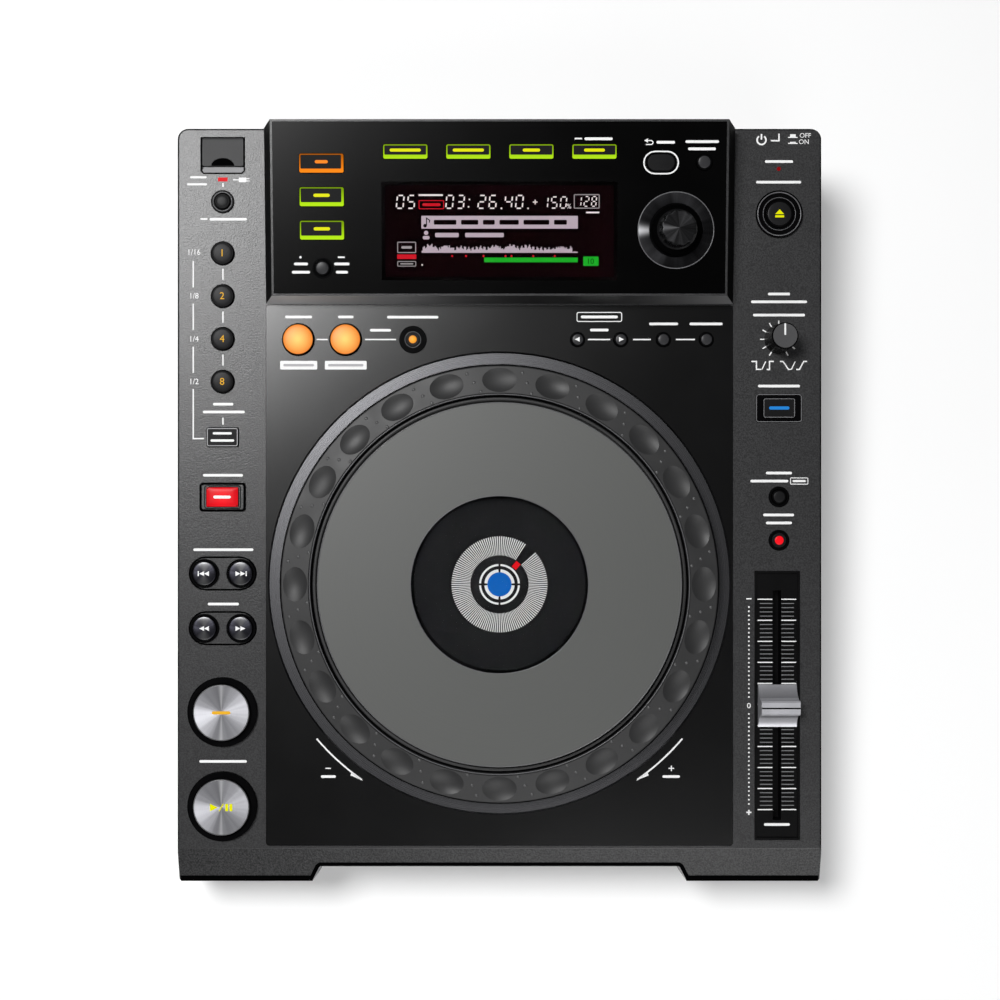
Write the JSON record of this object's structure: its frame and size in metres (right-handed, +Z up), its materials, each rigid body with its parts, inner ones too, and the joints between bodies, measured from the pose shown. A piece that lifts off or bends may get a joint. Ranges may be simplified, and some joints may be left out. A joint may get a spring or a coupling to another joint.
{
  "type": "tabletop disc player",
  "caption": "Sloping tabletop disc player for mixing: large jog wheel, display hump, tempo fader, rows of push keys and a front slot for discs.",
  "frame": {"origin": "on the table, under the middle of the player's outline", "axes": "+X to the right, +Y towards the rear sockets, +Z up; the disc slot faces -Y"},
  "size_m": [0.3058, 0.369, 0.1075],
  "materials": {
    "wing_black": "fine grained",
    "gloss_black": "polished",
    "pan_steel": "matt black",
    "clear_dark": "clear",
    "display": "glassy",
    "satin_metal": "satin",
    "dial_grey": "fine grained",
    "platter_grey": "satin",
    "key_black": "smooth",
    "key_orange": "lit",
    "key_red": "lit",
    "spun_silver": "spun",
    "knob_black": "semi-gloss",
    "silver_plastic": "satin silver",
    "board_green": "solder mask",
    "zinc": "zinc plated",
    "rubber": "matt",
    "lid_grey": "matt"
  },
  "bodies": {
    "case": {"upper_case": "wing_black", "lower_case": "pan_steel", "deck_panel": "gloss_black", "display_panel": "gloss_black", "clear_lenses": "clear_dark", "display_modules": "display", "jog_bezel": "satin_metal", "jog_bearing": "pan_steel", "control_surrounds": "knob_black", "fader_unit": "gloss_black", "circuit_boards": "board_green", "drive_frame": "zinc", "sockets": "key_black", "rubber_feet": "rubber", "case_screws": "zinc"},
    "usb_stop_button": {"usb_stop_button": "key_black"},
    "beat_select_button": {"beat_select_button": "key_black"},
    "reverse_button": {"reverse_button": "key_red"},
    "cue_button": {"cue_button": "spun_silver"},
    "play_button": {"play_button": "spun_silver"},
    "eject_button": {"eject_button": "key_black"},
    "jog_mode_button": {"jog_mode_button": "key_black"},
    "tempo_range_button": {"tempo_range_button": "key_black"},
    "master_tempo_button": {"master_tempo_button": "key_black"},
    "loop_in_button": {"loop_in_button": "key_orange"},
    "loop_out_button": {"loop_out_button": "key_orange"},
    "reloop_button": {"reloop_button": "key_black"},
    "call_back_button": {"call_back_button": "key_black"},
    "call_forward_button": {"call_forward_button": "key_black"},
    "delete_button": {"delete_button": "key_black"},
    "memory_button": {"memory_button": "key_black"},
    "time_mode_button": {"time_mode_button": "key_black"},
    "back_button": {"back_button": "key_black"},
    "tag_track_button": {"tag_track_button": "key_black"},
    "loop_1_button": {"loop_1_button": "key_black"},
    "loop_2_button": {"loop_2_button": "key_black"},
    "loop_4_button": {"loop_4_button": "key_black"},
    "loop_8_button": {"loop_8_button": "key_black"},
    "track_back_button": {"track_back_button": "key_black"},
    "track_forward_button": {"track_forward_button": "key_black"},
    "search_back_button": {"search_back_button": "key_black"},
    "search_forward_button": {"search_forward_button": "key_black"},
    "browse_button": {"browse_button": "key_black"},
    "tag_list_button": {"tag_list_button": "key_black"},
    "info_button": {"info_button": "key_black"},
    "menu_button": {"menu_button": "key_black"},
    "source_pc_button": {"source_pc_button": "key_black"},
    "source_usb_button": {"source_usb_button": "key_black"},
    "source_disc_button": {"source_disc_button": "key_black"},
    "jog_dial": {"jog_dial": "dial_grey"},
    "jog_platter": {"jog_platter": "platter_grey"},
    "selector_shaft": {"selector_shaft": "zinc"},
    "selector_knob": {"selector_knob": "knob_black"},
    "speed_knob": {"speed_knob": "knob_black"},
    "tempo_slider": {"tempo_slider": "silver_plastic"},
    "usb_lid": {"usb_lid": "lid_grey"},
    "power_button": {"power_button": "key_black"},
    "drive_spindle": {"drive_spindle": "key_black"},
    "loading_roller": {"loading_roller": "rubber"},
    "pickup_sled": {"pickup_sled": "zinc"}
  },
  "joints": [
    {"name": "usb_stop_press", "type": "slide", "parent": "case", "child": "usb_stop_button", "axis": [0, -0.0698, 0.9976], "range_m": [-0.0008, 0], "stiffness_N_per_m": 350, "springref_m": 0.0008},
    {"name": "beat_select_press", "type": "slide", "parent": "case", "child": "beat_select_button", "axis": [0, -0.0698, 0.9976], "range_m": [-0.0008, 0], "stiffness_N_per_m": 350, "springref_m": 0.0008},
    {"name": "reverse_press", "type": "slide", "parent": "case", "child": "reverse_button", "axis": [0, -0.0698, 0.9976], "range_m": [-0.0008, 0], "stiffness_N_per_m": 350, "springref_m": 0.0008},
    {"name": "cue_press", "type": "slide", "parent": "case", "child": "cue_button", "axis": [0, -0.0698, 0.9976], "range_m": [-0.0008, 0], "stiffness_N_per_m": 600, "springref_m": 0.0008},
    {"name": "play_press", "type": "slide", "parent": "case", "child": "play_button", "axis": [0, -0.0698, 0.9976], "range_m": [-0.0008, 0], "stiffness_N_per_m": 600, "springref_m": 0.0008},
    {"name": "eject_press", "type": "slide", "parent": "case", "child": "eject_button", "axis": [0, -0.0698, 0.9976], "range_m": [-0.0008, 0], "stiffness_N_per_m": 350, "springref_m": 0.0008},
    {"name": "jog_mode_press", "type": "slide", "parent": "case", "child": "jog_mode_button", "axis": [0, -0.0698, 0.9976], "range_m": [-0.0008, 0], "stiffness_N_per_m": 350, "springref_m": 0.0008},
    {"name": "tempo_range_press", "type": "slide", "parent": "case", "child": "tempo_range_button", "axis": [0, -0.0698, 0.9976], "range_m": [-0.0008, 0], "stiffness_N_per_m": 350, "springref_m": 0.0008},
    {"name": "master_tempo_press", "type": "slide", "parent": "case", "child": "master_tempo_button", "axis": [0, -0.0698, 0.9976], "range_m": [-0.0008, 0], "stiffness_N_per_m": 350, "springref_m": 0.0008},
    {"name": "loop_in_press", "type": "slide", "parent": "case", "child": "loop_in_button", "axis": [0, -0.0698, 0.9976], "range_m": [-0.0008, 0], "stiffness_N_per_m": 350, "springref_m": 0.0008},
    {"name": "loop_out_press", "type": "slide", "parent": "case", "child": "loop_out_button", "axis": [0, -0.0698, 0.9976], "range_m": [-0.0008, 0], "stiffness_N_per_m": 350, "springref_m": 0.0008},
    {"name": "reloop_press", "type": "slide", "parent": "case", "child": "reloop_button", "axis": [0, -0.0698, 0.9976], "range_m": [-0.0008, 0], "stiffness_N_per_m": 350, "springref_m": 0.0008},
    {"name": "call_back_press", "type": "slide", "parent": "case", "child": "call_back_button", "axis": [0, -0.0698, 0.9976], "range_m": [-0.0008, 0], "stiffness_N_per_m": 350, "springref_m": 0.0008},
    {"name": "call_forward_press", "type": "slide", "parent": "case", "child": "call_forward_button", "axis": [0, -0.0698, 0.9976], "range_m": [-0.0008, 0], "stiffness_N_per_m": 350, "springref_m": 0.0008},
    {"name": "delete_press", "type": "slide", "parent": "case", "child": "delete_button", "axis": [0, -0.0698, 0.9976], "range_m": [-0.0008, 0], "stiffness_N_per_m": 350, "springref_m": 0.0008},
    {"name": "memory_press", "type": "slide", "parent": "case", "child": "memory_button", "axis": [0, -0.0698, 0.9976], "range_m": [-0.0008, 0], "stiffness_N_per_m": 350, "springref_m": 0.0008},
    {"name": "time_mode_press", "type": "slide", "parent": "case", "child": "time_mode_button", "axis": [0, -0.1554, 0.9879], "range_m": [-0.0008, 0], "stiffness_N_per_m": 350, "springref_m": 0.0008},
    {"name": "back_press", "type": "slide", "parent": "case", "child": "back_button", "axis": [0, -0.1554, 0.9879], "range_m": [-0.0008, 0], "stiffness_N_per_m": 350, "springref_m": 0.0008},
    {"name": "tag_track_press", "type": "slide", "parent": "case", "child": "tag_track_button", "axis": [0, -0.1554, 0.9879], "range_m": [-0.0008, 0], "stiffness_N_per_m": 350, "springref_m": 0.0008},
    {"name": "loop_1_press", "type": "slide", "parent": "case", "child": "loop_1_button", "axis": [0, -0.0698, 0.9976], "range_m": [-0.0008, 0], "stiffness_N_per_m": 350, "springref_m": 0.0008},
    {"name": "loop_2_press", "type": "slide", "parent": "case", "child": "loop_2_button", "axis": [0, -0.0698, 0.9976], "range_m": [-0.0008, 0], "stiffness_N_per_m": 350, "springref_m": 0.0008},
    {"name": "loop_4_press", "type": "slide", "parent": "case", "child": "loop_4_button", "axis": [0, -0.0698, 0.9976], "range_m": [-0.0008, 0], "stiffness_N_per_m": 350, "springref_m": 0.0008},
    {"name": "loop_8_press", "type": "slide", "parent": "case", "child": "loop_8_button", "axis": [0, -0.0698, 0.9976], "range_m": [-0.0008, 0], "stiffness_N_per_m": 350, "springref_m": 0.0008},
    {"name": "track_back_press", "type": "slide", "parent": "case", "child": "track_back_button", "axis": [0, -0.0698, 0.9976], "range_m": [-0.0008, 0], "stiffness_N_per_m": 350, "springref_m": 0.0008},
    {"name": "track_forward_press", "type": "slide", "parent": "case", "child": "track_forward_button", "axis": [0, -0.0698, 0.9976], "range_m": [-0.0008, 0], "stiffness_N_per_m": 350, "springref_m": 0.0008},
    {"name": "search_back_press", "type": "slide", "parent": "case", "child": "search_back_button", "axis": [0, -0.0698, 0.9976], "range_m": [-0.0008, 0], "stiffness_N_per_m": 350, "springref_m": 0.0008},
    {"name": "search_forward_press", "type": "slide", "parent": "case", "child": "search_forward_button", "axis": [0, -0.0698, 0.9976], "range_m": [-0.0008, 0], "stiffness_N_per_m": 350, "springref_m": 0.0008},
    {"name": "browse_press", "type": "slide", "parent": "case", "child": "browse_button", "axis": [0, -0.1554, 0.9879], "range_m": [-0.0008, 0], "stiffness_N_per_m": 350, "springref_m": 0.0008},
    {"name": "tag_list_press", "type": "slide", "parent": "case", "child": "tag_list_button", "axis": [0, -0.1554, 0.9879], "range_m": [-0.0008, 0], "stiffness_N_per_m": 350, "springref_m": 0.0008},
    {"name": "info_press", "type": "slide", "parent": "case", "child": "info_button", "axis": [0, -0.1554, 0.9879], "range_m": [-0.0008, 0], "stiffness_N_per_m": 350, "springref_m": 0.0008},
    {"name": "menu_press", "type": "slide", "parent": "case", "child": "menu_button", "axis": [0, -0.1554, 0.9879], "range_m": [-0.0008, 0], "stiffness_N_per_m": 350, "springref_m": 0.0008},
    {"name": "source_pc_press", "type": "slide", "parent": "case", "child": "source_pc_button", "axis": [0, -0.1554, 0.9879], "range_m": [-0.0008, 0], "stiffness_N_per_m": 350, "springref_m": 0.0008},
    {"name": "source_usb_press", "type": "slide", "parent": "case", "child": "source_usb_button", "axis": [0, -0.1554, 0.9879], "range_m": [-0.0008, 0], "stiffness_N_per_m": 350, "springref_m": 0.0008},
    {"name": "source_disc_press", "type": "slide", "parent": "case", "child": "source_disc_button", "axis": [0, -0.1554, 0.9879], "range_m": [-0.0008, 0], "stiffness_N_per_m": 350, "springref_m": 0.0008},
    {"name": "jog_spin", "type": "hinge", "parent": "case", "child": "jog_dial", "pos_m": [0, -0.04181, 0.06199], "axis": [0, -0.0698, 0.9976], "continuous": true},
    {"name": "platter_press", "type": "slide", "parent": "jog_dial", "child": "jog_platter", "axis": [0, -0.0698, 0.9976], "range_m": [-0.0006, 0], "stiffness_N_per_m": 3000, "springref_m": 0.0008},
    {"name": "selector_push", "type": "slide", "parent": "case", "child": "selector_shaft", "axis": [0, -0.1554, 0.9879], "range_m": [-0.0006, 0], "stiffness_N_per_m": 600, "springref_m": 0.0008},
    {"name": "selector_turn", "type": "hinge", "parent": "selector_shaft", "child": "selector_knob", "pos_m": [0.0819, 0.12135, 0.09004], "axis": [0, -0.1554, 0.9879], "continuous": true},
    {"name": "speed_turn", "type": "hinge", "parent": "case", "child": "speed_knob", "pos_m": [0.1326, 0.07362, 0.07006], "axis": [0, -0.0698, 0.9976], "range_deg": [-150, 150]},
    {"name": "tempo_slide", "type": "slide", "parent": "case", "child": "tempo_slider", "axis": [0, 0.9976, 0.0698], "range_m": [-0.05, 0.05]},
    {"name": "lid_hinge", "type": "hinge", "parent": "case", "child": "usb_lid", "pos_m": [-0.1314, 0.16779, 0.07514], "axis": [-1, 0, 0], "range_deg": [0, 90]},
    {"name": "power_press", "type": "slide", "parent": "case", "child": "power_button", "axis": [0, 1, 0], "range_m": [-0.003, 0], "stiffness_N_per_m": 200, "springref_m": 0.003},
    {"name": "spindle_spin", "type": "hinge", "parent": "case", "child": "drive_spindle", "pos_m": [0, -0.0951, 0.0224], "axis": [0, 0, 1], "continuous": true},
    {"name": "roller_spin", "type": "hinge", "parent": "case", "child": "loading_roller", "pos_m": [0, -0.1621, 0.0223], "axis": [1, 0, 0], "continuous": true},
    {"name": "sled_slide", "type": "slide", "parent": "case", "child": "pickup_sled", "axis": [0, 1, 0], "range_m": [0, 0.035]}
  ]
}
